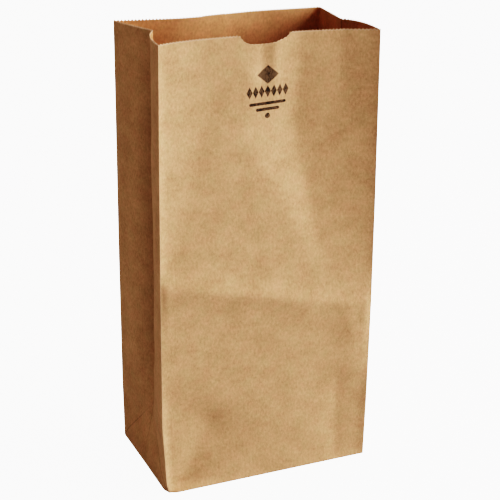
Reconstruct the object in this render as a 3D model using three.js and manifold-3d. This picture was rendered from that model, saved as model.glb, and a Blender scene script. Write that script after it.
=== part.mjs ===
// Brown paper lunch bag: one sheet of kraft paper, wrapped into a tube with tucked side gussets,
// glued along one seam down the back, and closed by a folded and glued block bottom.
// Units are millimetres. +Z is up, X runs across the front panel and the front faces -Y.
// The origin is the middle of the underside.

import * as THREE from 'three';
import { mergeVertices } from 'three/addons/utils/BufferGeometryUtils.js';
import Module from 'manifold-3d';

// Overall sizes of the standing bag
const WIDTH = 196.85;
const DEPTH = 122.24;
const HEIGHT = 406.4;
const PAPER = 0.15;
const FOLD_RADIUS = 0.6;

// Side gussets: how far each centre crease sits inside the line between its two corners, where the
// foot's slanting creases meet and at the mouth, and how far the front half swells at the mouth
const LEFT_GUSSET = { tuckAtApex: 9.3, tuckAtMouth: 14, swell: 2.6 };
const RIGHT_GUSSET = { tuckAtApex: 7, tuckAtMouth: 8.5, swell: 6.5 };
const SWELL_FADE = 2;

// Wide panels: how far they bow at the mouth, and how soon the bow dies away towards the foot
const FRONT_BOW = 15;
const FRONT_BOW_FULLNESS = 3;
const BACK_BOW = 4;
const BACK_SWAY = 5.5;
const BOW_FADE = 1.3;
const CROSS_CREASE_RECESS = 2;

// Thumb notch in the front panel, and the pinked cut at both ends of the tube
const NOTCH_WIDTH = 44;
const NOTCH_DEPTH = 9.3;
const TOOTH_PITCH = 2.6;
const TOOTH_DEPTH = 1.1;

// Glued laps: the lengthwise seam on the back panel, and the two long flaps of the bottom
const SEAM_LAP = 20;
const SEAM_CENTRE = -8;
const FLAP_LAP = 24;

// Levels of the glued bottom, counted in papers from the floor: the front flap is outermost, the
// back flap lies on it, and the two gusset flaps lie inside. Up to the foot's top the walls are
// upright and square.
const FRONT_FLAP_LEVEL = 0;
const BACK_FLAP_LEVEL = PAPER;
const GUSSET_FLAP_LEVEL = 2 * PAPER;
const FLOOR_TOP = 3 * PAPER;
const GUSSET_FLAP_TOP = 4 * PAPER;
const FOOT_TOP = 6 * PAPER;

// The flaps' folded edges end inside the thickness of the walls
const LONG_FLAP_INSET = PAPER / 3;
const GUSSET_FLAP_INSET = (2 * PAPER) / 3;

// How finely the sheet is divided between its creases, and how near two nodes are one
const PANEL_STEPS = 16;
const GUSSET_STEPS = 8;
const WALL_STEPS = 8;
const SEAM_MARGIN = 1;
const WELD_DISTANCE = 1e-4;

// Cutting tools reach this far past the paper. The comb's teeth start a quarter of a half tooth
// beside each fold.
const CLEARANCE = 5;
const COMB_OUTSIDE = 0.5;
const COMB_INSIDE = 0.65;
const COMB_PHASE = 0.25;

const APEX = DEPTH / 2;
const FLAP_REACH = DEPTH / 2 + FLAP_LAP / 2;
const ROUGH_HEIGHT = HEIGHT + TOOTH_DEPTH;

const wasm = await Module();
wasm.setup();

// A gusset's tuck grows from the apex of the foot's creases to the mouth.
function tuckAt(gusset, z) {
  const climb = Math.max(0, z - APEX) / (HEIGHT - APEX);
  return THREE.MathUtils.lerp(gusset.tuckAtApex, gusset.tuckAtMouth, climb);
}

// Below the apex the tuck is flattened by the triangle that folds up from the foot.
function creaseTuck(gusset, z) {
  return tuckAt(gusset, z) * Math.min(1, z / APEX);
}

function swellAt(gusset, z) {
  return gusset.swell * (z / HEIGHT) ** SWELL_FADE;
}

// Paper does not stretch: half a gusset is always half the bag's depth long, so the more it tucks
// and swells, the less far it reaches from its centre crease to its corner. A swell is half a wave,
// and a wave of a small slope is longer than its chord by a quarter of the slope's square.
function reachOf(gusset, z, swell) {
  const half = DEPTH / 2;
  const slope = (Math.PI * swell) / half;
  const chord = half / (1 + slope ** 2 / 4);
  return Math.sqrt(chord ** 2 - creaseTuck(gusset, z) ** 2);
}

// The cross crease folds the front panel in at the height of the apex.
function crossRecess(z) {
  return CROSS_CREASE_RECESS * Math.max(0, 1 - Math.abs(z - APEX) / APEX);
}

// The six upright folds at a height, in turn round the bag from the front left corner
function foldPoint(fold, z) {
  const left = fold === 'frontLeft' || fold === 'backLeft' || fold === 'leftCrease';
  const gusset = left ? LEFT_GUSSET : RIGHT_GUSSET;
  const x = left ? -WIDTH / 2 : WIDTH / 2;
  if (fold === 'leftCrease') return new THREE.Vector3(x + creaseTuck(gusset, z), 0, z);
  if (fold === 'rightCrease') return new THREE.Vector3(x - creaseTuck(gusset, z), 0, z);
  if (fold === 'backLeft' || fold === 'backRight') {
    return new THREE.Vector3(x, reachOf(gusset, z, 0), z);
  }
  return new THREE.Vector3(x, crossRecess(z) - reachOf(gusset, z, swellAt(gusset, z)), z);
}

// How far a strip's face stands out from the straight line between its two folds
function frontBow(share, z) {
  const across = 1 - Math.abs(2 * share - 1) ** FRONT_BOW_FULLNESS;
  return -FRONT_BOW * across * (z / HEIGHT) ** BOW_FADE;
}

function backBow(share, z) {
  const turn = Math.PI * (1 - share);
  const across = BACK_BOW * Math.sin(turn) + BACK_SWAY * Math.sin(2 * turn);
  return -across * (z / HEIGHT) ** BOW_FADE;
}

function gussetSwell(gusset) {
  return (share, z) => swellAt(gusset, z) * Math.sin(Math.PI * share);
}

// In the foot a gusset's tuck follows the lower of the two: the distance from the corner or the
// height. That puts a crease at 45 degrees from each corner up to the apex.
function footCrease(gusset, cornerFirst) {
  const outward = gusset === LEFT_GUSSET ? -1 : 1;
  return (share, z) => {
    if (z >= APEX) return 0;
    const fromCorner = APEX * (cornerFirst ? share : 1 - share);
    const straight = (creaseTuck(gusset, z) * fromCorner) / APEX;
    const folded = (tuckAt(gusset, z) * Math.min(fromCorner, z)) / APEX;
    return outward * (straight - folded);
  };
}

const flat = () => 0;

const STRIPS = [
  { from: 'frontLeft', to: 'frontRight', width: WIDTH, steps: PANEL_STEPS, bow: frontBow, lift: flat },
  {
    from: 'frontRight',
    to: 'rightCrease',
    width: DEPTH / 2,
    steps: GUSSET_STEPS,
    bow: gussetSwell(RIGHT_GUSSET),
    lift: footCrease(RIGHT_GUSSET, true),
  },
  {
    from: 'rightCrease',
    to: 'backRight',
    width: DEPTH / 2,
    steps: GUSSET_STEPS,
    bow: flat,
    lift: footCrease(RIGHT_GUSSET, false),
    falling: true,
  },
  { from: 'backRight', to: 'backLeft', width: WIDTH, steps: PANEL_STEPS, bow: backBow, lift: flat },
  {
    from: 'backLeft',
    to: 'leftCrease',
    width: DEPTH / 2,
    steps: GUSSET_STEPS,
    bow: flat,
    lift: footCrease(LEFT_GUSSET, true),
  },
  {
    from: 'leftCrease',
    to: 'frontLeft',
    width: DEPTH / 2,
    steps: GUSSET_STEPS,
    bow: gussetSwell(LEFT_GUSSET),
    lift: footCrease(LEFT_GUSSET, false),
    falling: true,
  },
];
const BACK_STRIP = 3;

// A point on the outer face of a strip, with its folds still sharp
function stripPoint(strip, share, z) {
  const start = foldPoint(strip.from, z);
  const end = foldPoint(strip.to, z);
  const outward = new THREE.Vector3(end.y - start.y, start.x - end.x, 0).normalize();
  const point = start.lerp(end, share).addScaledVector(outward, strip.bow(share, z));
  point.x += strip.lift(share, z);
  return point;
}

// A point on the outer face. Each upright fold is rounded by a curve between the places beside it.
function facePoint(place, height) {
  const z = height > FOOT_TOP ? height : 0;
  const strip = STRIPS[place.strip];
  const sharp = stripPoint(strip, place.share, z);
  if (place.share > 0) return sharp.setZ(height);
  const before = STRIPS[(place.strip + STRIPS.length - 1) % STRIPS.length];
  const start = stripPoint(before, 1 - FOLD_RADIUS / before.width, z);
  const end = stripPoint(strip, FOLD_RADIUS / strip.width, z);
  return new THREE.QuadraticBezierCurve3(start, sharp, end).getPoint(0.5).setZ(height);
}

// The seam's two edges, as shares of the back strip, which runs from right to left
function seamShares(margin) {
  const half = SEAM_LAP / 2 + margin;
  return [-half, half].map((offset) => 0.5 + (offset - SEAM_CENTRE) / WIDTH);
}

// The upright lines of the sheet's net: even steps, and a line beside each fold and seam edge
function netPlaces() {
  const places = STRIPS.flatMap((strip, index) => {
    const beside = FOLD_RADIUS / strip.width;
    const shares = [beside, 1 - beside];
    for (let step = 0; step < strip.steps; step += 1) shares.push(step / strip.steps);
    if (index === BACK_STRIP) shares.push(...seamShares(SEAM_MARGIN));
    return shares.sort((a, b) => a - b).map((share) => ({ strip: index, share }));
  });
  return [...places, places[0]];
}

// The level lines of the net, from the mouth down: even steps above the apex of the foot's creases,
// and below it the same step as the gussets, so that the slanting creases run from node to node
function netHeights() {
  const heights = [];
  for (let step = 0; step < WALL_STEPS; step += 1) {
    heights.push(THREE.MathUtils.lerp(ROUGH_HEIGHT, APEX, step / WALL_STEPS));
  }
  for (let step = GUSSET_STEPS; step > 0; step -= 1) heights.push((APEX * step) / GUSSET_STEPS);
  return [...heights, FOOT_TOP, GUSSET_FLAP_LEVEL];
}

// Folds a flat sheet: every node of the plane's net goes to its place round the bag.
function foldedSheet(places, heightAt, rows) {
  const columns = places.length - 1;
  const sheet = new THREE.PlaneGeometry(1, 1, columns, rows);
  const position = sheet.getAttribute('position');
  for (let row = 0; row <= rows; row += 1) {
    places.forEach((place, column) => {
      const point = facePoint(place, heightAt(row, column));
      position.setXYZ(row * places.length + column, point.x, point.y, point.z);
    });
  }
  // Each cell of the net is two triangles. Where a crease falls from left to right, the cell's
  // diagonal is turned to lie along it.
  const index = sheet.getIndex();
  for (let row = 0; row < rows; row += 1) {
    for (let column = 0; column < columns; column += 1) {
      if (STRIPS[places[column].strip].falling) {
        const topLeft = row * places.length + column;
        const lowLeft = topLeft + places.length;
        const cell = [topLeft, lowLeft, lowLeft + 1, topLeft, lowLeft + 1, topLeft + 1];
        cell.forEach((node, corner) => index.setX(6 * (row * columns + column) + corner, node));
      }
    }
  }
  return sheet;
}

// Only positions are kept, so that nodes which meet become one.
function welded(geometry) {
  geometry.deleteAttribute('normal');
  geometry.deleteAttribute('uv');
  return mergeVertices(geometry, WELD_DISTANCE);
}

// Gives a folded sheet its thickness. The outer skin is the sheet moved out, the inner skin is the
// same net moved in and turned round, and a band of triangles closes every free edge.
function thicken(sheet, outside, inside) {
  const net = welded(sheet);
  net.computeVertexNormals();
  const position = net.getAttribute('position');
  const normal = net.getAttribute('normal');
  const count = position.count;
  const nodes = new Float32Array(6 * count);
  for (let node = 0; node < count; node += 1) {
    const point = new THREE.Vector3().fromBufferAttribute(position, node);
    const level = new THREE.Vector3().fromBufferAttribute(normal, node).setZ(0).normalize();
    point.clone().addScaledVector(level, outside).toArray(nodes, 3 * node);
    point.clone().addScaledVector(level, -inside).toArray(nodes, 3 * (node + count));
  }
  const faces = Array.from(net.getIndex().array);
  const edges = new Set();
  for (let face = 0; face < faces.length; face += 3) {
    for (let side = 0; side < 3; side += 1) {
      edges.add(`${faces[face + side]} ${faces[face + ((side + 1) % 3)]}`);
    }
  }
  const triangles = [...faces];
  for (let face = 0; face < faces.length; face += 3) {
    const [a, b, c] = faces.slice(face, face + 3);
    triangles.push(a + count, c + count, b + count);
  }
  edges.forEach((edge) => {
    const [a, b] = edge.split(' ').map(Number);
    if (!edges.has(`${b} ${a}`)) triangles.push(b, a, a + count, b, a + count, b + count);
  });
  return solidOf(nodes, new Uint32Array(triangles));
}

function solidOf(vertProperties, triVerts) {
  return new wasm.Manifold(new wasm.Mesh({ numProp: 3, vertProperties, triVerts }));
}

function solidFrom(geometry) {
  const net = welded(geometry);
  return solidOf(net.getAttribute('position').array, new Uint32Array(net.getIndex().array));
}

// A flat plate of paper between two levels, from its outline
function plate(outline, low, high) {
  const geometry = new THREE.ExtrudeGeometry(outline, { depth: high - low, bevelEnabled: false });
  return solidFrom(geometry.translate(0, 0, low));
}

// Continues an outline along a pinked cut, with the teeth on the right of its direction.
function pinkTo(outline, from, to) {
  const halves = 2 * Math.round(from.distanceTo(to) / TOOTH_PITCH);
  const out = new THREE.Vector2(to.y - from.y, from.x - to.x).setLength(TOOTH_DEPTH);
  for (let half = 1; half <= halves; half += 1) {
    const point = from.clone().lerp(to, half / halves);
    if (half % 2 === 1) point.add(out);
    outline.lineTo(point.x, point.y);
  }
}

// The four upright walls: the tube, with the lap of the seam standing one paper proud of the back
function makeWalls() {
  const heights = netHeights();
  const places = netPlaces();
  const rows = heights.length - 1;
  const tube = thicken(foldedSheet(places, (row) => heights[row], rows), 0, PAPER);
  const [first, last] = seamShares(0);
  const inSeam = ({ strip, share }) => strip === BACK_STRIP && share > first && share < last;
  const seamPlaces = places.filter(inSeam);
  seamPlaces.unshift({ strip: BACK_STRIP, share: first });
  seamPlaces.push({ strip: BACK_STRIP, share: last });
  const lap = foldedSheet(seamPlaces, (row) => heights[row], rows);
  return tube.add(thicken(lap, PAPER, PAPER / 2));
}

// The knife that cuts the tube: a band along the mouth whose lower edge is a row of teeth
function makeComb() {
  const places = STRIPS.flatMap((strip, index) => {
    const halves = 2 * Math.round(strip.width / TOOTH_PITCH);
    const shareOf = (half) => (half + COMB_PHASE) / halves;
    return Array.from({ length: halves }, (_, half) => ({ strip: index, share: shareOf(half), half }));
  });
  places.push(places[0]);
  const top = HEIGHT + CLEARANCE;
  const toothAt = (column) => HEIGHT - (places[column].half % 2 ? 0 : TOOTH_DEPTH);
  const band = foldedSheet(places, (row, column) => (row === 0 ? top : toothAt(column)), 1);
  return thicken(band, COMB_OUTSIDE, COMB_INSIDE);
}

// The thumb notch: half an ellipse with a pinked edge, cut through the front panel only
function makeNotchCutter() {
  const outline = new THREE.Shape();
  const halves = 2 * Math.round((Math.PI * (NOTCH_WIDTH + 2 * NOTCH_DEPTH)) / 4 / TOOTH_PITCH);
  outline.moveTo(NOTCH_WIDTH / 2, HEIGHT + CLEARANCE);
  outline.lineTo(-NOTCH_WIDTH / 2, HEIGHT + CLEARANCE);
  for (let half = 0; half <= halves; half += 1) {
    const angle = Math.PI * (1 + half / halves);
    const tooth = half % 2 ? TOOTH_DEPTH : 0;
    const x = (NOTCH_WIDTH / 2 - tooth) * Math.cos(angle);
    outline.lineTo(x, HEIGHT + (NOTCH_DEPTH - tooth) * Math.sin(angle));
  }
  const depth = FRONT_BOW + 2 * CLEARANCE;
  const cutter = new THREE.ExtrudeGeometry(outline, { depth, bevelEnabled: false });
  cutter.rotateX(Math.PI / 2);
  return solidFrom(cutter.translate(0, FRONT_BOW + CLEARANCE - DEPTH / 2, 0));
}

// The front and back flaps narrow at 45 degrees from the corners and overlap along the middle.
// Their free edge is the tube's pinked lower end.
function longFlapOutline() {
  const base = LONG_FLAP_INSET - DEPTH / 2;
  const halfBase = WIDTH / 2 - 2 * FOLD_RADIUS;
  const halfTip = halfBase - FLAP_REACH;
  const tip = base + FLAP_REACH - TOOTH_DEPTH;
  const outline = new THREE.Shape();
  outline.moveTo(-halfTip, tip);
  outline.lineTo(-halfBase, base);
  outline.lineTo(halfBase, base);
  outline.lineTo(halfTip, tip);
  pinkTo(outline, new THREE.Vector2(halfTip, tip), new THREE.Vector2(-halfTip, tip));
  return outline;
}

// The gusset's flap is as wide as the bag is deep. It is drawn for the left end.
function gussetFlapOutline() {
  const base = GUSSET_FLAP_INSET - WIDTH / 2;
  const side = DEPTH / 2 - GUSSET_FLAP_INSET;
  const tip = base + FLAP_REACH - TOOTH_DEPTH;
  const outline = new THREE.Shape();
  outline.moveTo(tip, side);
  outline.lineTo(base, side);
  outline.lineTo(base, -side);
  outline.lineTo(tip, -side);
  pinkTo(outline, new THREE.Vector2(tip, -side), new THREE.Vector2(tip, side));
  return outline;
}

// The lap of the seam goes on under the back flap, as far as the front flap's edge.
function seamLapOutline() {
  const left = SEAM_CENTRE - SEAM_LAP / 2;
  const right = SEAM_CENTRE + SEAM_LAP / 2;
  const start = FLAP_REACH - DEPTH / 2 - TOOTH_DEPTH;
  const end = DEPTH / 2 - LONG_FLAP_INSET;
  const outline = new THREE.Shape();
  outline.moveTo(left, start);
  outline.lineTo(right, start);
  outline.lineTo(right, end);
  outline.lineTo(left, end);
  return outline;
}

// The glued layers of the bottom are one stack: each reaches from its own underside to the floor.
function makeBottom() {
  const halfTurn = [0, 0, 180];
  const frontFlap = plate(longFlapOutline(), FRONT_FLAP_LEVEL, FLOOR_TOP);
  const backFlap = plate(longFlapOutline(), BACK_FLAP_LEVEL, FLOOR_TOP).rotate(halfTurn);
  const leftFlap = plate(gussetFlapOutline(), GUSSET_FLAP_LEVEL, GUSSET_FLAP_TOP);
  const rightFlap = leftFlap.rotate(halfTurn);
  const seamLap = plate(seamLapOutline(), FRONT_FLAP_LEVEL, GUSSET_FLAP_LEVEL);
  return frontFlap.add(backFlap).add(leftFlap).add(rightFlap).add(seamLap);
}

function geometryOf(solid) {
  const { vertProperties, triVerts } = solid.getMesh();
  const geometry = new THREE.BufferGeometry();
  geometry.setAttribute('position', new THREE.BufferAttribute(vertProperties, 3));
  geometry.setIndex(new THREE.BufferAttribute(triVerts, 1));
  geometry.computeVertexNormals();
  return geometry;
}

const kraftPaper = new THREE.MeshStandardMaterial({ color: 0xc49b6c, roughness: 0.88, metalness: 0 });
const mouthCut = makeComb().add(makeNotchCutter());
const bag = new THREE.Mesh(geometryOf(makeWalls().subtract(mouthCut).add(makeBottom())), kraftPaper);
bag.name = 'paper_bag';

const part = new THREE.Group();
part.add(bag);

export default part;
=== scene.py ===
# %% [markdown]
# # A brown paper lunch bag
# The bag is one sheet of kraft paper. It is creased, wrapped into a tube with tucked side gussets,
# glued along one seam, and closed by a folded bottom. This lesson makes it the same way: a flat blank
# is cut and creased first, then every point of it goes to its folded place, then it gets a thickness.
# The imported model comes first, because its box says how large the bag may be.

# %% Load the frame
import functools
import math

import bmesh
import bpy
from mathutils import Matrix, Vector, noise


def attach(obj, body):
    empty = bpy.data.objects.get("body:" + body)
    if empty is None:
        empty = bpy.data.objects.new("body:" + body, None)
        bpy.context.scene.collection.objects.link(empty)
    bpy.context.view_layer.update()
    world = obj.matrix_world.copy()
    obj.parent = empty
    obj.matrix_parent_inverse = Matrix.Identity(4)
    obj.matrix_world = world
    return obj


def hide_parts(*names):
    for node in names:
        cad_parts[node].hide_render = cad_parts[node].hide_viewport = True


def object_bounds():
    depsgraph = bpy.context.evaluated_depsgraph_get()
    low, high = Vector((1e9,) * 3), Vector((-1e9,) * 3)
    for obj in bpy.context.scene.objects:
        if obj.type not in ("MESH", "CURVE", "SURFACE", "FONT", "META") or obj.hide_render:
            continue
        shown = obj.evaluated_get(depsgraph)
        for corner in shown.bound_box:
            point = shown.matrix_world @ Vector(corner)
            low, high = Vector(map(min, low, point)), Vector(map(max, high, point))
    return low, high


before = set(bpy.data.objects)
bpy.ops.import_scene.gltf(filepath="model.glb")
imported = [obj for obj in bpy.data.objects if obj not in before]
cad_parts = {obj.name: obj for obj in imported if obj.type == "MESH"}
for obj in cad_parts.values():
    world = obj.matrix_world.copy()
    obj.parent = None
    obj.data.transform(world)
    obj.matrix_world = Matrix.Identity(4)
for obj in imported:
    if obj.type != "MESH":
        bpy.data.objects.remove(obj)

cad_low, cad_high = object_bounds()
print("CAD box", [round(value, 4) for value in (*cad_low, *cad_high)])

# %% [markdown]
# ## Camera
# The camera stands to the left of the front panel and looks down into the mouth. A long lens keeps
# the upright folds nearly parallel. Its place was found by fitting the bag's corners, so it is set
# first and then left alone.

# %% Camera
CAMERA_PLACE = Vector((-0.4292, -1.0065, 0.6089))
CAMERA_TARGET = Vector((0.0066, 0.0, 0.1987))
CAMERA_ROLL = 0.008
CAMERA_LENS = 92.33
SENSOR_WIDTH = 36.0


def make_camera():
    data = bpy.data.cameras.new("camera")
    data.lens = CAMERA_LENS
    data.sensor_width = SENSOR_WIDTH
    camera = bpy.data.objects.new("camera", data)
    turn = (CAMERA_TARGET - CAMERA_PLACE).to_track_quat("-Z", "Y").to_matrix().to_4x4()
    camera.matrix_world = Matrix.Translation(CAMERA_PLACE) @ turn @ Matrix.Rotation(CAMERA_ROLL, 4, "Z")
    bpy.context.scene.collection.objects.link(camera)
    bpy.context.scene.camera = camera
    return camera


camera = make_camera()
print("camera at", [round(value, 3) for value in camera.location])

# %% [markdown]
# ## Sizes
# The sack's standard size gives its width, depth and height. Distances across the blank are counted
# from the middle of the front panel, positive to the right, so the upright folds lie at half a width,
# then half a depth further, and so on round to the seam on the back.

# %% Sizes
WIDTH = 0.19685
DEPTH = 0.12224
HEIGHT = cad_high.z
PAPER = 0.00015
HALF = WIDTH / 2
APEX = DEPTH / 2
SEAM_LAP = 0.020
SEAM_CENTRE = -0.008
FLAP_LAP = 0.024
FLAP_REACH = APEX + FLAP_LAP / 2
CORNER = HALF
CREASE = HALF + APEX
BACK_CORNER = HALF + DEPTH
LEFT_END = -(BACK_CORNER + HALF + SEAM_CENTRE + SEAM_LAP / 2)
RIGHT_END = BACK_CORNER + HALF - SEAM_CENTRE + SEAM_LAP / 2
MM = 1000
blank_size = (RIGHT_END - LEFT_END, HEIGHT + FLAP_REACH)
print("blank, width and length in mm", [round(size * MM, 1) for size in blank_size])

# %% [markdown]
# ## The flat blank
# Paper starts flat, so the mesh does too. A grid gives it even cells. The tube's knife leaves saw
# teeth along the mouth: each edge there is split once, and its new middle is pushed down. The thumb
# notch is made without cutting faces away: the net is slid down along a shallow, slightly lopsided
# outline, so its cells stay whole and the teeth follow the curve.

# %% The flat blank
CELL = 0.0030
ROW = 0.0029
TOOTH_DEPTH = 0.0015
NOTCH_OUTLINE = [
    # place across and depth below the mouth, from left to right
    (-0.0243, 0),
    (-0.0226, 0.0024),
    (-0.0202, 0.0052),
    (-0.0172, 0.0073),
    (-0.0125, 0.0083),
    (-0.0060, 0.0087),
    (0.0020, 0.0087),
    (0.0090, 0.0074),
    (0.0150, 0.0056),
    (0.0195, 0.0038),
    (0.0213, 0.0018),
    (0.0218, 0),
]
NOTCH_PULL = 0.026


def make_blank():
    sheet = bmesh.new()
    columns = round((RIGHT_END - LEFT_END) / CELL)
    rows = round(HEIGHT / ROW)
    bmesh.ops.create_grid(sheet, x_segments=columns, y_segments=rows, size=0.5)
    bmesh.ops.scale(sheet, vec=(RIGHT_END - LEFT_END, HEIGHT, 1), verts=sheet.verts)
    bmesh.ops.translate(sheet, vec=((LEFT_END + RIGHT_END) / 2, HEIGHT / 2, 0), verts=sheet.verts)
    return sheet


def only(items, kind):
    return [item for item in items if isinstance(item, kind)]


def cut_teeth(sheet):
    mouth = [edge for edge in sheet.edges if all(v.co.y > HEIGHT - PAPER for v in edge.verts)]
    made = bmesh.ops.subdivide_edges(sheet, edges=mouth, cuts=1)["geom_inner"]
    valleys = only(made, bmesh.types.BMVert)
    bmesh.ops.translate(sheet, vec=(0, -TOOTH_DEPTH, 0), verts=valleys)
    return len(valleys)


def along_outline(share):
    """The point at an even share of the notch's cut length."""
    points = [Vector(point) for point in NOTCH_OUTLINE]
    lengths = [(b - a).length for a, b in zip(points, points[1:])]
    left = share * sum(lengths)
    for start, end, length in zip(points, points[1:], lengths):
        if left <= length or end is points[-1]:
            return start.lerp(end, min(1, left / length))
        left -= length


def slide_notch(sheet):
    first, last = NOTCH_OUTLINE[0][0], NOTCH_OUTLINE[-1][0]
    for vert in sheet.verts:
        share = (vert.co.x - first) / (last - first)
        pull = max(0, 1 - (HEIGHT - vert.co.y) / NOTCH_PULL)
        if 0 < share < 1 and pull > 0:
            place = along_outline(share)
            vert.co.x += (place.x - vert.co.x) * pull
            vert.co.y -= place.y * pull**2


blank = make_blank()
teeth = cut_teeth(blank)
slide_notch(blank)
print("blank with", len(blank.faces), "cells and", teeth, "teeth")

# %% [markdown]
# ## Creases
# A machine scores the sheet before it is folded. Here each score is a plane that bisects the flat mesh.
# An upright fold gets lines close on both sides too, which keep its bend narrow. The foot has one
# crease across it and a slanting one from each bottom corner up to the middle of its gusset.

# %% Creases
FOLD_RADIUS = 0.0007
FOLD_GUARD = 0.0015
FOOT_RADIUS = 0.0009
SCORE_TOLERANCE = 1e-7
UPRIGHT_FOLDS = [side * place for side in (-1, 1) for place in (CORNER, CREASE, BACK_CORNER)]


def score(sheet, point, normal, faces=None):
    faces = list(sheet.faces) if faces is None else faces
    geom = list({item for face in faces for item in (*face.verts, *face.edges, face)})
    bmesh.ops.bisect_plane(sheet, geom=geom, dist=SCORE_TOLERANCE, plane_co=point, plane_no=normal)


def faces_between(sheet, left, right, top):
    def inside(face):
        middle = face.calc_center_median()
        return left < middle.x < right and middle.y < top

    return [face for face in sheet.faces if inside(face)]


for fold in UPRIGHT_FOLDS:
    for offset in (-FOLD_GUARD, -FOLD_RADIUS, 0, FOLD_RADIUS, FOLD_GUARD):
        score(blank, (fold + offset, 0, 0), (1, 0, 0))
for height in (FOOT_RADIUS / 2, FOOT_RADIUS, 2 * FOOT_RADIUS, APEX):
    score(blank, (0, height, 0), (0, 1, 0))
for side in (-1, 1):
    for corner, slope in ((CORNER, 1), (BACK_CORNER, -1)):
        ends = sorted((side * corner, side * CREASE))
        foot = faces_between(blank, *ends, APEX)
        score(blank, (side * corner, 0, 0), (side * slope, -1, 0), foot)
print("creased blank has", len(blank.faces), "cells")

# %% [markdown]
# ## Where the folds stand
# Each upright fold has a plan place at each height. The square plan of the foot is the start, and a
# handful of stations say how far a fold drifts from it on the way up, because an opened paper bag is
# never quite square. Between two stations the drift changes evenly.

# %% Where the folds stand
# Each station is a height and how far the fold has drifted along x and y there.
FRONT_LEFT_DRIFT = [
    (0, 0, 0),
    (0.066, -0.0028, 0.0030),
    (0.200, -0.0022, 0.0036),
    (0.313, -0.0012, 0.0035),
    (0.406, -0.0003, 0.0032),
]
FRONT_RIGHT_DRIFT = [
    (0, 0.0008, 0),
    (0.057, 0.0014, -0.0010),
    (0.155, 0.0018, -0.0018),
    (0.250, 0.0014, -0.0018),
    (0.335, 0.0006, -0.0015),
    (0.406, -0.0003, -0.0015),
]
BACK_LEFT_DRIFT = [
    (0, -0.0006, 0),
    (0.060, -0.0014, 0),
    (0.190, -0.0013, -0.0004),
    (0.325, -0.0008, -0.0020),
    (0.406, -0.0010, -0.0042),
]
BACK_RIGHT_DRIFT = [
    (0, 0, 0),
    (0.060, 0.0010, 0),
    (0.250, 0.0012, -0.0010),
    (0.406, 0.0004, -0.0046),
]
# In a tuck, x is how far the gusset's crease stands outside its side, and less than zero is inside.
LEFT_TUCK = [
    (0, 0.0003, 0),
    (0.017, -0.0005, 0),
    (0.036, -0.0047, 0),
    (0.052, -0.0080, 0),
    (0.074, -0.0115, 0),
    (0.115, -0.0150, 0),
    (0.233, -0.0166, 0),
    (0.333, -0.0168, 0.0005),
    (0.406, -0.0160, 0.0015),
]
RIGHT_TUCK = [
    (0, 0, 0),
    (0.020, -0.0010, 0),
    (0.061, -0.0065, -0.0010),
    (0.233, -0.0078, -0.0030),
    (0.406, -0.0086, -0.0051),
]


def at_height(stations, height):
    """What a row of stations says at a height, as a vector with nothing in its last place."""
    for (low, *start), (high, *end) in zip(stations, stations[1:]):
        if height <= high or high == stations[-1][0]:
            share = min(1, max(0, (height - low) / (high - low)))
            return Vector((*(a + (b - a) * share for a, b in zip(start, end)), 0))


@functools.lru_cache(maxsize=None)
def fold_places(height):
    """Plan places of the front corner, gusset crease and back corner on each side at a height."""
    places = {}
    for side, front, tuck, back in (
        (-1, FRONT_LEFT_DRIFT, LEFT_TUCK, BACK_LEFT_DRIFT),
        (1, FRONT_RIGHT_DRIFT, RIGHT_TUCK, BACK_RIGHT_DRIFT),
    ):
        inset = at_height(tuck, height)
        inset.x *= side
        places[side] = (
            Vector((side * HALF, -APEX, 0)) + at_height(front, height),
            Vector((side * HALF, 0, 0)) + inset,
            Vector((side * HALF, APEX, 0)) + at_height(back, height),
        )
    return places


for side, places in fold_places(HEIGHT).items():
    name = "left" if side < 0 else "right"
    print("mouth folds on the", name, [[round(v * MM, 1) for v in place.xy] for place in places])

# %% [markdown]
# ## How the panels bow
# Between its folds each panel is a stiff, springy sheet. The front bows inwards at the mouth and the
# back sways, the front halves of the gussets swell outwards, and all of it dies away towards the
# square foot. Beside their creases the gussets rise in two cheeks. The front also has a slanting
# hollow: a facet that leans to the right and ends at a valley.

# %% How the panels bow
FRONT_BOW = 0.0122
FRONT_FULLNESS = 3.4
LIP = 0.0012
LIP_REACH = 0.004
LIP_FADE = 0.3
BACK_WAVES = (-0.0042, -0.0048, -0.0002, 0.0010)
BOW_FADE = 1.3
RIGHT_SWELL = 0.0067
RIGHT_SWELL_SKEW = 0.7
LEFT_SWELL = 0.0042
LEFT_SWELL_SKEW = 0.85
BACK_HALF_SAG = 0.0003
SWELL_FADE = 2
LEFT_SWELL_FADE = 5
CHEEK = 0.0110
CHEEK_REACH = 0.022
# Each of these stations is a height and the one value that holds there.
CHEEK_SHARE = [(0, 0), (0.040, 0.1), (0.100, 1), (0.300, 1), (0.380, 0.3), (0.406, 0)]
HOLLOW_FOOT = 0.200
HOLLOW_VALLEY = [(0.200, 0.051), (0.325, 0.029), (0.406, 0.033)]
HOLLOW_BREAK = [(0.200, 0.047), (0.325, -0.020), (0.406, -0.012)]
HOLLOW_END = [(0.200, 0.0984), (0.325, 0.0984), (0.406, 0.084)]
HOLLOW_DEPTH = [(0.200, 0), (0.250, 0.0058), (0.325, 0.0110), (0.370, 0.0076), (0.406, 0.0036)]
HOLLOW_SOFTNESS = 0.006


def fade(height, power):
    return (max(0, height) / HEIGHT) ** power


def soft_ramp(value, softness):
    """Zero below nothing, the value itself above, with a rounded corner between."""
    return (value + math.sqrt(value * value + softness * softness)) / 2


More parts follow.
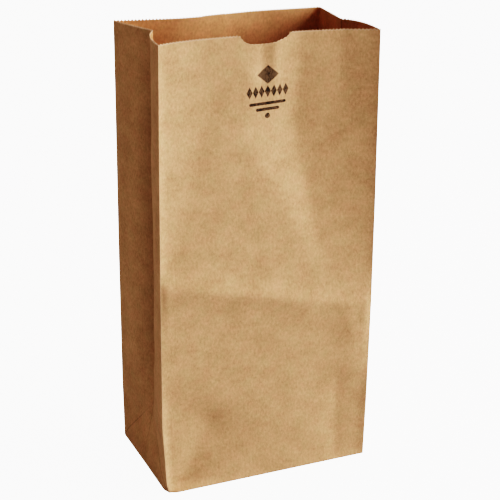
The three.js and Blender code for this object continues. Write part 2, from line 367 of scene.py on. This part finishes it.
def hollow(x, height):
    if height <= HOLLOW_FOOT:
        return 0
    start, valley, end, depth = (
        at_height(line, height).x for line in (HOLLOW_BREAK, HOLLOW_VALLEY, HOLLOW_END, HOLLOW_DEPTH)
    )
    fall = depth / (valley - start)
    rise = depth / (end - valley)
    soft = HOLLOW_SOFTNESS
    down = -fall * soft_ramp(x - start, soft) + (fall + rise) * soft_ramp(x - valley, soft / 2)
    return down - rise * soft_ramp(x - end, soft)


def lip(share):
    """Corner folds stand a little proud, and the panel falls away from each of them."""
    left, right = share * WIDTH, (1 - share) * WIDTH
    falls = [1 - math.exp(-distance / LIP_REACH) for distance in (left, right)]
    return -LIP * (falls[0] * (1 - share) + falls[1] * share)


def front_bow(share, height):
    across = 1 - abs(2 * share - 1) ** FRONT_FULLNESS
    return -FRONT_BOW * across * fade(height, BOW_FADE) + lip(share) * fade(height, LIP_FADE)


def back_bow(share, height):
    waves = sum(size * math.sin((n + 1) * math.pi * share) for n, size in enumerate(BACK_WAVES))
    return waves * fade(height, BOW_FADE)


def crease_cheek(share, height):
    """Beside a sharp crease the paper springs outwards, which leaves the crease in a narrow groove."""
    rise = 1 - math.exp(-share * APEX / CHEEK_REACH)
    return CHEEK * rise * (1 - share) * at_height(CHEEK_SHARE, height).x


def gusset_bow(side, share, height, front_half):
    """The share runs from the crease to the corner."""
    if not front_half:
        return BACK_HALF_SAG * math.sin(math.pi * share) * fade(height, 1)
    if side > 0:
        return RIGHT_SWELL * math.sin(math.pi * share**RIGHT_SWELL_SKEW) * fade(height, SWELL_FADE)
    return LEFT_SWELL * math.sin(math.pi * share**LEFT_SWELL_SKEW) * fade(height, LEFT_SWELL_FADE)


print("the front bows in at the mouth by", round(-front_bow(0.5, HEIGHT) * MM, 1), "mm")

# %% [markdown]
# ## Soft folds and dents
# A bag that was stored flat and opened by hand keeps faint marks: a soft ridge across its middle,
# shallow valleys near the bottom corners, ripples under the notch. Each is one line on the front panel
# with a height and a reach on either side, like the side view of a tent.

# %% Soft folds and dents
SOFT_FOLDS = [
    # start and end on the panel, height, reach on the left and right of the line, softness
    ((-0.100, 0.199), (0.100, 0.152), 0.0036, 0.012, 0.024, 0.002),
    ((-0.066, 0.192), (0.030, 0.170), 0.0028, 0.012, 0.024, 0.003),
    ((-0.052, 0.354), (-0.086, 0.215), -0.0024, 0.018, 0.050, 0.005),
    ((-0.057, 0.058), (-0.084, 0.004), -0.0064, 0.024, 0.030, 0.006),
    ((0.068, 0.072), (0.069, 0.015), -0.0030, 0.020, 0.012, 0.002),
    ((0.069, 0.430), (0.069, 0.375), -0.0014, 0.010, 0.012, 0.001),
    ((-0.003, 0.402), (-0.003, 0.374), -0.0018, 0.010, 0.004, 0.002),
    ((0.009, 0.402), (0.009, 0.374), 0.0018, 0.004, 0.010, 0.002),
    ((0.076, 0.150), (0.084, 0.100), 0.0016, 0.014, 0.014, 0.004),
]
FOLD_END_FADE = 0.020
WAVE_SCALE = 30
WAVINESS = 0.00035
EDGE_CALM = 0.006


def smooth(share):
    """Eases from nothing to one as the share does."""
    share = min(1, max(0, share))
    return share * share * (3 - 2 * share)


def soft_fold(x, height, fold):
    start, end, lift, left, right, soft = fold
    point, start, end = Vector((x, height)), Vector(start), Vector(end)
    along = (end - start).normalized()
    run = (point - start).dot(along)
    side = (point - start).dot(Vector((along.y, -along.x)))
    beyond = max(0, -run, run - (end - start).length)
    away = math.sqrt(side * side + soft * soft) - soft
    return lift * math.exp(-away / (right if side > 0 else left) - (beyond / FOLD_END_FADE) ** 2)


def waviness(across, height):
    place = Vector((across * WAVE_SCALE, height * WAVE_SCALE, 0))
    return WAVINESS * noise.noise(place)


def calm(across):
    """One away from every upright fold and nothing on it."""
    nearest = min(abs(across - fold) for fold in UPRIGHT_FOLDS)
    return smooth(nearest / EDGE_CALM)


def relief(across, height):
    total = waviness(across, height)
    if abs(across) < HALF:
        total += sum(soft_fold(across, height, fold) for fold in SOFT_FOLDS)
    return total * calm(across) * smooth(height / EDGE_CALM)


ridge_middle = (Vector(SOFT_FOLDS[0][0]) + Vector(SOFT_FOLDS[0][1])) / 2
print(len(SOFT_FOLDS), "soft folds")
print("the ridge's middle stands proud by", round(relief(*ridge_middle) * MM, 1), "mm")

# %% [markdown]
# ## Folding the sheet
# Now a point of the blank can be sent to its place. Its distance across says which panel it is on and
# how far along, the panel's two folds at that height give a straight line, and the bows and marks lift
# it off that line. Averaging three neighbouring places rounds every fold by the same small radius.

# %% Folding the sheet
BLUNT_DEPTHS = {(-1, -1): 0.0035, (1, 1): 0.0015}
BLUNT_REACH = 0.011
SEAM_STEP = 0.0003
SEAM_RAMP = 0.002
FOLD_SAMPLES = ((-FOLD_RADIUS, 0.25), (0, 0.5), (FOLD_RADIUS, 0.25))


def foot_crease(from_corner, height, tuck):
    """How much less a gusset tucks beside its corner, where the slanting crease folds it back."""
    if height >= APEX:
        return 0
    straight = tuck * from_corner / APEX
    folded = tuck * min(from_corner / max(height, PAPER), 1)
    return folded - straight


def plan_place(across, height):
    """Plan place and outward direction of a point of the tube, with sharp folds."""
    places = fold_places(height)
    side = 1 if across > 0 else -1
    corner, crease, back = places[side]
    size = abs(across)
    if size <= CORNER:
        share = across / WIDTH + 0.5
        start, end = places[-1][0], places[1][0]
        bow = front_bow(share, height) + hollow(across, height)
        flat = start.lerp(end, share)
        outward = Vector((end.y - start.y, start.x - end.x, 0))
    elif size <= BACK_CORNER:
        front_half = size <= CREASE
        end = corner if front_half else back
        share = abs(size - CREASE) / APEX
        bow = gusset_bow(side, share, height, front_half) + crease_cheek(share, height)
        flat = crease.lerp(end, share)
        tuck = abs(crease.x) - HALF
        flat.x += side * foot_crease(APEX * (1 - share), height, tuck)
        line = end - crease
        outward = Vector((abs(line.y), abs(line.x) * (1 if front_half else -1), 0))
        outward.x *= side
    else:
        share = (size - BACK_CORNER) / WIDTH
        share = share if side < 0 else 1 - share
        start, end = places[-1][2], places[1][2]
        bow = back_bow(share, height)
        flat = start.lerp(end, share)
        outward = Vector((start.y - end.y, end.x - start.x, 0))
    outward.normalize()
    lap = smooth((across - (RIGHT_END - SEAM_LAP - SEAM_RAMP)) / SEAM_RAMP) * SEAM_STEP
    return flat + outward * (bow + relief(across, height) + lap), outward


def folded_place(across, height):
    place, outward = Vector(), Vector()
    for step, weight in FOLD_SAMPLES:
        point, direction = plan_place(across + step, height)
        place += point * weight
        outward += direction * weight
    return place, outward.normalized()


def blunt_corner(place):
    """Sharp foot corners are easily bumped in: two of these are, the front left one the most."""
    for (side_x, side_y), depth in BLUNT_DEPTHS.items():
        corner = Vector((side_x * HALF, side_y * APEX, 0))
        near = 1 - smooth((place - corner).length / BLUNT_REACH)
        place -= Vector((side_x, side_y, 0)).normalized() * depth * near


def fold_sheet(sheet):
    net = sheet.verts.layers.float_vector.new("net")
    for vert in sheet.verts:
        across, height = vert.co.xy
        vert[net] = (across, height, 0)
        place, outward = folded_place(across, height)
        place.z = height
        if height < FOOT_RADIUS:
            turn = (1 - height / FOOT_RADIUS) * math.pi / 2
            place -= outward * FOOT_RADIUS * (1 - math.cos(turn))
            place.z = FOOT_RADIUS * (1 - math.sin(turn))
        blunt_corner(place)
        vert.co = place


fold_sheet(blank)
farthest = [max(vert.co[axis] for vert in blank.verts) for axis in range(3)]
print("folded, farthest places in mm", [round(value * MM, 1) for value in farthest])

# %% [markdown]
# ## The block bottom
# The tube's lower end is folded flat in four flaps: the two gusset flaps first, then the back, then the
# front outermost. Each is extruded inwards in a few steps from the lower edge of its own panel, on
# levels a layer apart, with the gusset flaps on top. The back flap has two halves, which lap at the
# seam. The long flaps narrow at 45 degrees, as their corners are folded under, and all the free edges
# have the knife's teeth.

# %% The block bottom
LAYER = 0.00017
FLAP_TIP = FLAP_REACH - FOOT_RADIUS
FLAP_STEPS = [0.001, 0.024, 0.048, FLAP_TIP - 2 * TOOTH_DEPTH, FLAP_TIP]


def lower_edges(sheet, low, high):
    net = sheet.verts.layers.float_vector["net"]

    def on_foot(edge):
        middle = (edge.verts[0][net] + edge.verts[1][net]) / 2
        return edge.is_boundary and middle.y < PAPER and low < abs(middle.x) < high

    return [edge for edge in sheet.edges if on_foot(edge)]


def split_by_side(sheet, edges):
    net = sheet.verts.layers.float_vector["net"]
    places = {edge: edge.verts[0][net].x + edge.verts[1][net].x for edge in edges}
    return [[edge for edge in edges if places[edge] * side > 0] for side in (-1, 1)]


def tooth_depth(along):
    """How far a pinked edge is cut back at a distance along it."""
    share = along / CELL % 1
    return TOOTH_DEPTH * (1 - abs(2 * share - 1))


def fold_flap(sheet, edges, inward, level, slanted):
    net = sheet.verts.layers.float_vector["net"]
    sideways = Vector((abs(inward.y), abs(inward.x), 0))
    for vert in {vert for edge in edges for vert in edge.verts}:
        vert.co.z += level
    done = 0
    for reach in FLAP_STEPS:
        made = bmesh.ops.extrude_edge_only(sheet, edges=edges)["geom"]
        tips = set(only(made, bmesh.types.BMVert))
        edges = [edge for edge in only(made, bmesh.types.BMEdge) if tips.issuperset(edge.verts)]
        for tip in tips:
            narrowing = (HALF - reach) / (HALF - done) - 1 if slanted else 0
            shift = tip.co.dot(sideways) * narrowing
            tip.co += inward * (reach - done) + sideways * shift
            tip.co.z = level
            tip[net] += Vector((shift * inward.y, done - reach, 0))
        done = reach
    for tip in tips:
        tip.co -= inward * tooth_depth(tip.co.dot(sideways))


front_edges = lower_edges(blank, -1, CORNER)
gusset_edges = split_by_side(blank, lower_edges(blank, CORNER, BACK_CORNER))
back_edges = split_by_side(blank, lower_edges(blank, BACK_CORNER, 1))
fold_flap(blank, front_edges, Vector((0, 1, 0)), 0, True)
fold_flap(blank, back_edges[1], Vector((0, -1, 0)), LAYER, True)
fold_flap(blank, back_edges[0], Vector((0, -1, 0)), 2 * LAYER, True)
for edges, way in zip(gusset_edges, (1, -1)):
    fold_flap(blank, edges, Vector((way, 0, 0)), 3 * LAYER, False)
print("with its bottom the sheet has", len(blank.faces), "cells")

# %% [markdown]
# ## Thickness
# The sheet gets its one paper of thickness last, so that the inside follows the outside everywhere.
# The whole sheet is extruded, and the new points go one paper inwards, against the direction that
# they face. On the flaps that is straight up. They are marked, as the cut edges are, so that the
# finish can tell the faces and edges of the paper apart.

# %% Thickness
SHARP_ANGLE = math.radians(50)
SEAM_PALENESS = 0.65


def mark_cut_edges(sheet):
    cut = sheet.verts.layers.float.new("cut")
    net = sheet.verts.layers.float_vector["net"]
    for vert in sheet.verts:
        if vert.is_boundary:
            beside_seam = not LEFT_END + PAPER < vert[net].x < RIGHT_END - PAPER
            vert[cut] = SEAM_PALENESS if beside_seam else 1.0


def thicken(sheet):
    bmesh.ops.recalc_face_normals(sheet, faces=sheet.faces)
    sheet.normal_update()
    inner_place = sheet.verts.layers.float_vector.new("inner_place")
    inside = sheet.verts.layers.float.new("inside")
    net = sheet.verts.layers.float_vector["net"]
    for vert in sheet.verts:
        facing = Vector((0, 0, -1)) if vert[net].y < 0 else vert.normal
        vert[inner_place] = vert.co - facing * PAPER
    everything = [*sheet.verts, *sheet.edges, *sheet.faces]
    made = bmesh.ops.extrude_face_region(sheet, geom=everything, use_keep_orig=True)["geom"]
    for vert in only(made, bmesh.types.BMVert):
        vert.co = vert[inner_place]
        vert[inside] = 1.0
    sheet.verts.layers.float_vector.remove(inner_place)
    bmesh.ops.recalc_face_normals(sheet, faces=sheet.faces)


def mesh_object(sheet, name):
    data = bpy.data.meshes.new(name)
    sheet.to_mesh(data)
    sheet.free()
    data.shade_smooth()
    data.set_sharp_from_angle(angle=SHARP_ANGLE)
    made = bpy.data.objects.new(name, data)
    bpy.context.scene.collection.objects.link(made)
    return made


mark_cut_edges(blank)
thicken(blank)
bag = mesh_object(blank, "folded_bag")
print("bag has", sum(len(face.vertices) - 2 for face in bag.data.polygons), "triangles")

# %% [markdown]
# ## Helpers for materials
# A finish is built from many small nodes, so a few helpers keep it readable. Each adds one node and
# feeds it: a plain one, a sum, a ramp between two values, a blend of two colours, or a node group,
# which is started with named sockets and then used where it is needed.

# %% Helpers for materials
# A Mix node has more than one kind of socket of each name, so its colour sockets go by number.
MIX_SHARE = 0
MIX_FIRST = 6
MIX_SECOND = 7
MIX_RESULT = 2


def feed(tree, node, inputs):
    for socket, value in inputs.items():
        if isinstance(value, bpy.types.NodeSocket):
            tree.links.new(value, node.inputs[socket])
        else:
            node.inputs[socket].default_value = value


def add_node(tree, kind, inputs=None, **settings):
    made = tree.nodes.new("ShaderNode" + kind)
    for name, value in settings.items():
        setattr(made, name, value)
    feed(tree, made, inputs or {})
    return made


def calc(tree, operation, *values):
    made = add_node(tree, "Math", dict(enumerate(values)), operation=operation)
    return made.outputs[0]


def ramp(tree, value, start, end, low=0.0, high=1.0):
    """Runs from low to high while the value goes from start to end."""
    inputs = {"Value": value, "From Min": start, "From Max": end, "To Min": low, "To Max": high}
    return add_node(tree, "MapRange", inputs).outputs[0]


def blend(tree, share, first, second, kind="MIX"):
    inputs = {MIX_SHARE: share, MIX_FIRST: first, MIX_SECOND: second}
    return add_node(tree, "Mix", inputs, data_type="RGBA", blend_type=kind).outputs[MIX_RESULT]


def start_group(name, inputs, outputs):
    tree = bpy.data.node_groups.new(name, "ShaderNodeTree")
    for way, sockets in (("INPUT", inputs), ("OUTPUT", outputs)):
        for socket, kind in sockets.items():
            tree.interface.new_socket(socket, in_out=way, socket_type="NodeSocket" + kind)
    return tree, tree.nodes.new("NodeGroupInput").outputs, tree.nodes.new("NodeGroupOutput").inputs


def use_group(tree, group, inputs):
    return add_node(tree, "Group", inputs, node_tree=group).outputs


def count_nodes(tree):
    print(tree.name, "has", len(tree.nodes), "nodes")


# %% [markdown]
# ## Pulp
# Kraft paper is unbleached wood pulp. Where the pulp lay thicker the sheet is a little darker, in
# clouds from a few centimetres down to a few millimetres, and a finer grain is drawn out up the bag.
# The pattern reads the flat sheet's coordinates, which were stored before folding, so it bends round
# each fold.

# %% Pulp
FIBRE_STRETCH = (1.0, 0.55, 1.0)
CLOUDS = {"Scale": 42.0, "Detail": 3.0, "Roughness": 0.68}
GRAIN = {"Scale": 520.0, "Detail": 2.0, "Roughness": 0.8}
FLECKS = {"Scale": 760.0, "Detail": 1.0, "Roughness": 0.5}
WARM_PATCHES = {"Scale": 75.0, "Detail": 2.0, "Roughness": 0.7}
CLOUD_SHARE = 0.45
GRAIN_SHARE = 0.55
FLECK_SHARE = -0.10
FLECK_RANGE = (0.62, 0.74)
TONE_RANGE = (0.31, 0.69)


def pattern(tree, place, kind):
    return add_node(tree, "TexNoise", {"Vector": place, **kind}).outputs[0]


def make_pulp():
    tree, given, result = start_group(
        "kraft_pulp", {"Position": "Vector"}, {"Tone": "Float", "Warmth": "Float", "Height": "Float"}
    )
    flat = given["Position"]
    fibres = add_node(tree, "Mapping", {"Vector": flat, "Scale": FIBRE_STRETCH}).outputs[0]
    grain = pattern(tree, fibres, GRAIN)
    flecks = ramp(tree, pattern(tree, fibres, FLECKS), *FLECK_RANGE)
    tone = calc(tree, "MULTIPLY", pattern(tree, flat, CLOUDS), CLOUD_SHARE)
    tone = calc(tree, "MULTIPLY_ADD", grain, GRAIN_SHARE, tone)
    tone = calc(tree, "MULTIPLY_ADD", flecks, FLECK_SHARE, tone)
    tree.links.new(ramp(tree, tone, *TONE_RANGE), result["Tone"])
    tree.links.new(pattern(tree, flat, WARM_PATCHES), result["Warmth"])
    tree.links.new(grain, result["Height"])
    return tree


pulp = make_pulp()
count_nodes(pulp)

# %% [markdown]
# ## Printed ornament
# A plain one-colour ornament is printed below the notch: a diamond, a row of lozenges, two bars and a
# dot, each a simple formula of the distance from its middle.

# %% Printed ornament
ORNAMENT_MIDDLE = (0.0020, 0.3530, 0.0)
PRINT_SOFTNESS = 0.06
# Each shape is half its width, half its height and how far it stands above the ornament's middle. A
# lozenge's width is counted in pitches of its row. The dot is a bar without a straight part.
DIAMOND = (0.0100, 0.0080, 0.0185)
LOZENGE = (0.48, 0.0052, 0.0042)
BARS = [(0.0165, 0.0013, -0.0060), (0.0100, 0.0013, -0.0110)]
DOT = (0.0, 0.0024, -0.0168)
LOZENGE_COUNT = 7
LOZENGE_PITCH = 0.0058


def shape_mask(tree, distance):
    """One where the distance is below one, with a slightly soft outline."""
    return ramp(tree, distance, 1.0 + PRINT_SOFTNESS, 1.0 - PRINT_SOFTNESS)


def diamond(tree, across, up, half_width, half_height, middle):
    wide = calc(tree, "DIVIDE", calc(tree, "ABSOLUTE", across), half_width)
    tall = calc(tree, "DIVIDE", calc(tree, "ABSOLUTE", calc(tree, "SUBTRACT", up, middle)), half_height)
    return shape_mask(tree, calc(tree, "ADD", wide, tall))


def bar(tree, across, up, half_width, half_height, middle):
    past = calc(tree, "SUBTRACT", calc(tree, "ABSOLUTE", across), half_width)
    past = calc(tree, "MAXIMUM", past, 0.0)
    rise = calc(tree, "SUBTRACT", up, middle)
    square = calc(tree, "MULTIPLY_ADD", past, past, calc(tree, "MULTIPLY", rise, rise))
    return shape_mask(tree, calc(tree, "DIVIDE", calc(tree, "SQRT", square), half_height))


def lozenge_row(tree, across, up):
    """The same lozenge in each pitch, kept only as far as the row reaches."""
    pitches = calc(tree, "MULTIPLY_ADD", across, 1 / LOZENGE_PITCH, 0.5)
    beside = calc(tree, "SUBTRACT", calc(tree, "FRACT", pitches), 0.5)
    end = LOZENGE_COUNT / 2 * LOZENGE_PITCH
    row = calc(tree, "LESS_THAN", calc(tree, "ABSOLUTE", across), end)
    return calc(tree, "MULTIPLY", diamond(tree, beside, up, *LOZENGE), row)


def make_ornament():
    tree, given, result = start_group("plain_ornament", {"Position": "Vector"}, {"Mask": "Float"})
    inputs = {0: given["Position"], 1: ORNAMENT_MIDDLE}
    place = add_node(tree, "VectorMath", inputs, operation="SUBTRACT").outputs[0]
    axes = add_node(tree, "SeparateXYZ", {0: place}).outputs
    across, up = axes["X"], axes["Y"]
    mask = diamond(tree, across, up, *DIAMOND)
    shapes = [lozenge_row(tree, across, up)]
    shapes += [bar(tree, across, up, *size) for size in (*BARS, DOT)]
    for shape in shapes:
        mask = calc(tree, "MAXIMUM", mask, shape)
    tree.links.new(mask, result["Mask"])
    return tree


ornament = make_ornament()
count_nodes(ornament)

# %% [markdown]
# ## Painted crease shade
# The shade of the creases is painted into the colour. Each gusset's middle crease gets a dark line,
# where it lies in its own shadow, and behind it a softer painted shade where the paper turns into the
# groove.
# The slanting creases of the foot get painted shade lines too; they all lie where the distance from the
# corner equals the height.

# %% Painted crease shade
LINE_WIDTH = 0.0011
SLANT_WIDTH = 0.0013
BAND_WIDTH = 0.028
BAND_CURVE = 1.3
BAND_STRENGTH = 0.45
# These go from one height to another, and from one strength to another.
LINE_FADE = (0.015, 0.060, 0.1, 0.45)
SLANT_FADE = (0.0, APEX, 0.55, 0.10)
BAND_START = (0.050, 0.130, 0.0, 1.0)
BAND_END = (0.400, 0.330, 0.3, 1.0)


# Painted shade: dark lines on the creases, and a soft painted shade behind each gusset's middle crease.
def make_painted_crease_shade():
    tree, given, result = start_group("painted_crease_shade", {"Position": "Vector"}, {"Shade": "Float"})
    axes = add_node(tree, "SeparateXYZ", {0: given["Position"]}).outputs
    height = axes["Y"]
    behind = calc(tree, "SUBTRACT", calc(tree, "ABSOLUTE", axes["X"]), CREASE)
    away = calc(tree, "ABSOLUTE", behind)
    line = ramp(tree, away, LINE_WIDTH, 0.0)
    line = calc(tree, "MULTIPLY", line, ramp(tree, height, *LINE_FADE))
    band = calc(tree, "POWER", ramp(tree, behind, BAND_WIDTH, 0.0), BAND_CURVE)
    band = calc(tree, "MULTIPLY", band, calc(tree, "GREATER_THAN", behind, 0.0))
    span = calc(tree, "MULTIPLY", ramp(tree, height, *BAND_START), ramp(tree, height, *BAND_END))
    band = calc(tree, "MULTIPLY", calc(tree, "MULTIPLY", band, span), BAND_STRENGTH)
    from_corner = calc(tree, "SUBTRACT", APEX, away)
    off = calc(tree, "ABSOLUTE", calc(tree, "SUBTRACT", from_corner, height))
    slant = ramp(tree, off, SLANT_WIDTH, 0.0)
    slant = calc(tree, "MULTIPLY", slant, ramp(tree, height, *SLANT_FADE))
    slant = calc(tree, "MULTIPLY", slant, calc(tree, "LESS_THAN", away, APEX))
    shade = calc(tree, "MAXIMUM", calc(tree, "MAXIMUM", line, band), slant)
    tree.links.new(shade, result["Shade"])
    return tree


painted_crease_shade = make_painted_crease_shade()
count_nodes(painted_crease_shade)

# %% [markdown]
# ## Kraft paper
# The finish puts these together. The colour runs from dark to light kraft with the pulp's tone. The
# inside gets painted light and shade: a warmer tint stands in for light that reaches it across brown
# paper, and a painted shade is deepest a few fingers below the mouth, from where it eases off both
# ways.
# Cut edges show pale loose fibres with a painted highlight, the folds are rubbed a little and carry a
# painted highlight too, and the ink lies on the outside only, thinner where the pulp is pale.

# %% Kraft paper
KRAFT_DARK = (0.46, 0.268, 0.147, 1)
KRAFT_LIGHT = (0.78, 0.482, 0.285, 1)
KRAFT_PINK = (1.05, 0.985, 0.985, 1)
KRAFT_YELLOW = (0.97, 1.01, 0.96, 1)
# Painted light and shade on the inside: a warm bounce tint, and a darker painted shade a few fingers
# below the mouth.
INSIDE_BOUNCE_TINT = (1.10, 0.96, 0.86, 1)
DEEP_SHADE_TINT = (0.68, 0.45, 0.36, 1)
SHADE_DEPTH = 0.060
# Dark brown for the painted shade in and behind the creases.
CREASE_SHADE_COLOR = (0.10, 0.048, 0.022, 1)
# Pale fibres together with a painted highlight, for the cut edges and the rubbed folds.
PALE_EDGE_AND_HIGHLIGHT = (0.90, 0.68, 0.50, 1)
INK = (0.030, 0.018, 0.010, 1)
# How wide and how strong the rubbing and painted highlight along the upright folds are.
RUBBED_HIGHLIGHT_WIDTH = 0.0012
RUBBED_HIGHLIGHT_SHARE = 0.25
WARMTH_RANGE = (0.3, 0.7)
CUT_RANGE = (0.7, 1.0)
# Two tones of the pulp, and how well the ink covers each.
INK_COVER = (0.65, 0.35, 0.8, 1.0)
PAPER_ROUGHNESS = 0.86
PAPER_GLOSS = 0.25
FUZZ_STRENGTH = 0.35
FUZZ_HEIGHT = 0.0002


def fold_distance(tree, across):
    """Distance across the sheet to the nearest of the four upright corner folds."""
    size = calc(tree, "ABSOLUTE", across)
    near = calc(tree, "ABSOLUTE", calc(tree, "SUBTRACT", size, CORNER))
    far = calc(tree, "ABSOLUTE", calc(tree, "SUBTRACT", size, BACK_CORNER))
    return calc(tree, "MINIMUM", near, far)


def make_kraft():
    material = bpy.data.materials.new("kraft_paper")
    material.use_nodes = True
    tree = material.node_tree
    shader = tree.nodes["Principled BSDF"]
    shader.inputs["Roughness"].default_value = PAPER_ROUGHNESS
    shader.inputs["Specular IOR Level"].default_value = PAPER_GLOSS
    net, inside, cut = (
        add_node(tree, "Attribute", attribute_name=name).outputs for name in ("net", "inside", "cut")
    )
    flat = net["Vector"]
    parts = use_group(tree, pulp, {"Position": flat})
    color = blend(tree, parts["Tone"], KRAFT_DARK, KRAFT_LIGHT)
    warmth = blend(tree, ramp(tree, parts["Warmth"], *WARMTH_RANGE), KRAFT_YELLOW, KRAFT_PINK)
    color = blend(tree, 1.0, color, warmth, "MULTIPLY")
    axes = add_node(tree, "SeparateXYZ", {0: flat}).outputs
    # Painted shade on the inside, darkest a few fingers below the mouth, with the painted warm bounce
    # tint above and below it.
    from_darkest = calc(tree, "ABSOLUTE", calc(tree, "SUBTRACT", axes["Y"], HEIGHT - SHADE_DEPTH))
    inside_light_and_shade = blend(tree, ramp(tree, from_darkest, 0.0, SHADE_DEPTH), DEEP_SHADE_TINT, INSIDE_BOUNCE_TINT)
    color = blend(tree, inside["Fac"], color, blend(tree, 1.0, color, inside_light_and_shade, "MULTIPLY"))
    # Painted shade along the creases and in the gusset's groove, blended towards dark brown.
    shade = use_group(tree, painted_crease_shade, {"Position": flat})["Shade"]
    color = blend(tree, shade, color, CREASE_SHADE_COLOR)
    # Upright folds lightened: a little rubbing, and a painted highlight along the fold.
    rubbed_and_highlit = ramp(tree, fold_distance(tree, axes["X"]), RUBBED_HIGHLIGHT_WIDTH, 0.0, 0.0, RUBBED_HIGHLIGHT_SHARE)
    color = blend(tree, rubbed_and_highlit, color, PALE_EDGE_AND_HIGHLIGHT)
    # Cut edges paler: loose fibres, and a painted highlight where they catch the light.
    color = blend(tree, ramp(tree, cut["Fac"], *CUT_RANGE), color, PALE_EDGE_AND_HIGHLIGHT)
    ink = use_group(tree, ornament, {"Position": flat})["Mask"]
    ink = calc(tree, "MULTIPLY", ink, calc(tree, "SUBTRACT", 1.0, inside["Fac"]))
    ink = calc(tree, "MULTIPLY", ink, ramp(tree, parts["Tone"], *INK_COVER))
    color = blend(tree, ink, color, INK)
    tree.links.new(color, shader.inputs["Base Color"])
    bump_inputs = {"Strength": FUZZ_STRENGTH, "Distance": FUZZ_HEIGHT, "Height": parts["Height"]}
    tree.links.new(add_node(tree, "Bump", bump_inputs).outputs[0], shader.inputs["Normal"])
    return material


kraft = make_kraft()
bag.data.materials.append(kraft)
print("kraft paper has", len(kraft.node_tree.nodes), "nodes")

# %% [markdown]
# ## Stage and light
# One large soft light stands low to the front right, so that it skims the front panel and shows its
# relief. The room gives a weak warm light, with more of it from the left behind, from behind and from
# above, and the floor and backdrop look nearly white.

# %% Stage and light
KEY_TURN = math.radians(61)
KEY_RISE = math.radians(24)
KEY_DISTANCE = 2.6
KEY_SIZE = 2.0
KEY_POWER = 84
WHITE = (1, 1, 1, 1)
ROOM_COLOR = (1.0, 0.80, 0.64, 1)
ROOM_LIGHT = 0.04
FILLS = [
    # where the light comes from, how bright it is and how narrow its spread
    ((-0.62, 0.72, 0.30), 0.10, 1),
    ((0.38, 0.91, 0.14), 1.10, 5),
    ((0, 0, 1), 1.10, 6),
]
FLOOR_SIZE = 12
FLOOR_GREY = (0.5, 0.5, 0.5, 1)
FLOOR_ROUGHNESS = 0.9
FLOOR_GLOW = 3.6
FLOOR_BOUNCE = 0.085


def make_floor():
    sheet = bmesh.new()
    bmesh.ops.create_grid(sheet, x_segments=1, y_segments=1, size=FLOOR_SIZE / 2)
    data = bpy.data.meshes.new("floor")
    sheet.to_mesh(data)
    sheet.free()
    floor = bpy.data.objects.new("floor", data)
    floor.location.z = -PAPER
    bpy.context.scene.collection.objects.link(floor)
    material = bpy.data.materials.new("pale_floor")
    material.use_nodes = True
    tree = material.node_tree
    shader = tree.nodes["Principled BSDF"]
    shader.inputs["Base Color"].default_value = FLOOR_GREY
    shader.inputs["Roughness"].default_value = FLOOR_ROUGHNESS
    shader.inputs["Emission Color"].default_value = WHITE
    seen = add_node(tree, "LightPath").outputs["Is Camera Ray"]
    glow = ramp(tree, seen, 0.0, 1.0, FLOOR_BOUNCE, FLOOR_GLOW)
    tree.links.new(glow, shader.inputs["Emission Strength"])
    data.materials.append(material)


def make_room():
    world = bpy.data.worlds.new("room")
    world.use_nodes = True
    bpy.context.scene.world = world
    tree = world.node_tree
    background = tree.nodes["Background"]
    direction = add_node(tree, "TexCoord").outputs["Generated"]
    level = ROOM_LIGHT
    for source, power, spread in FILLS:
        product = add_node(tree, "VectorMath", {0: direction, 1: source}, operation="DOT_PRODUCT")
        lobe = calc(tree, "POWER", calc(tree, "MAXIMUM", product.outputs["Value"], 0.0), spread)
        level = calc(tree, "MULTIPLY_ADD", lobe, power, level)
    seen = add_node(tree, "LightPath").outputs["Is Camera Ray"]
    strength = add_node(tree, "Mix", {"Factor": seen, "A": level, "B": FLOOR_GLOW}).outputs[0]
    tree.links.new(strength, background.inputs["Strength"])
    tree.links.new(blend(tree, seen, ROOM_COLOR, WHITE), background.inputs["Color"])


def make_key():
    data = bpy.data.lights.new("key", "AREA")
    data.shape = "SQUARE"
    data.size = KEY_SIZE
    data.energy = KEY_POWER
    key = bpy.data.objects.new("key", data)
    flat = math.cos(KEY_RISE)
    away = Vector((math.sin(KEY_TURN) * flat, -math.cos(KEY_TURN) * flat, math.sin(KEY_RISE)))
    key.location = Vector((0, 0, HEIGHT / 2)) + away * KEY_DISTANCE
    key.rotation_euler = away.to_track_quat("Z", "Y").to_euler()
    bpy.context.scene.collection.objects.link(key)


make_floor()
make_room()
make_key()
view = bpy.context.scene.view_settings
view.view_transform = "Filmic"
view.look = "Very High Contrast"
print("key light", KEY_POWER, "W and", len(FILLS), "fills; view", view.view_transform, view.look)

# %% [markdown]
# ## Hand over
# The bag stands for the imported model's one node and rides on its one body.

# %% Hand over
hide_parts("paper_bag")
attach(bag, "root")
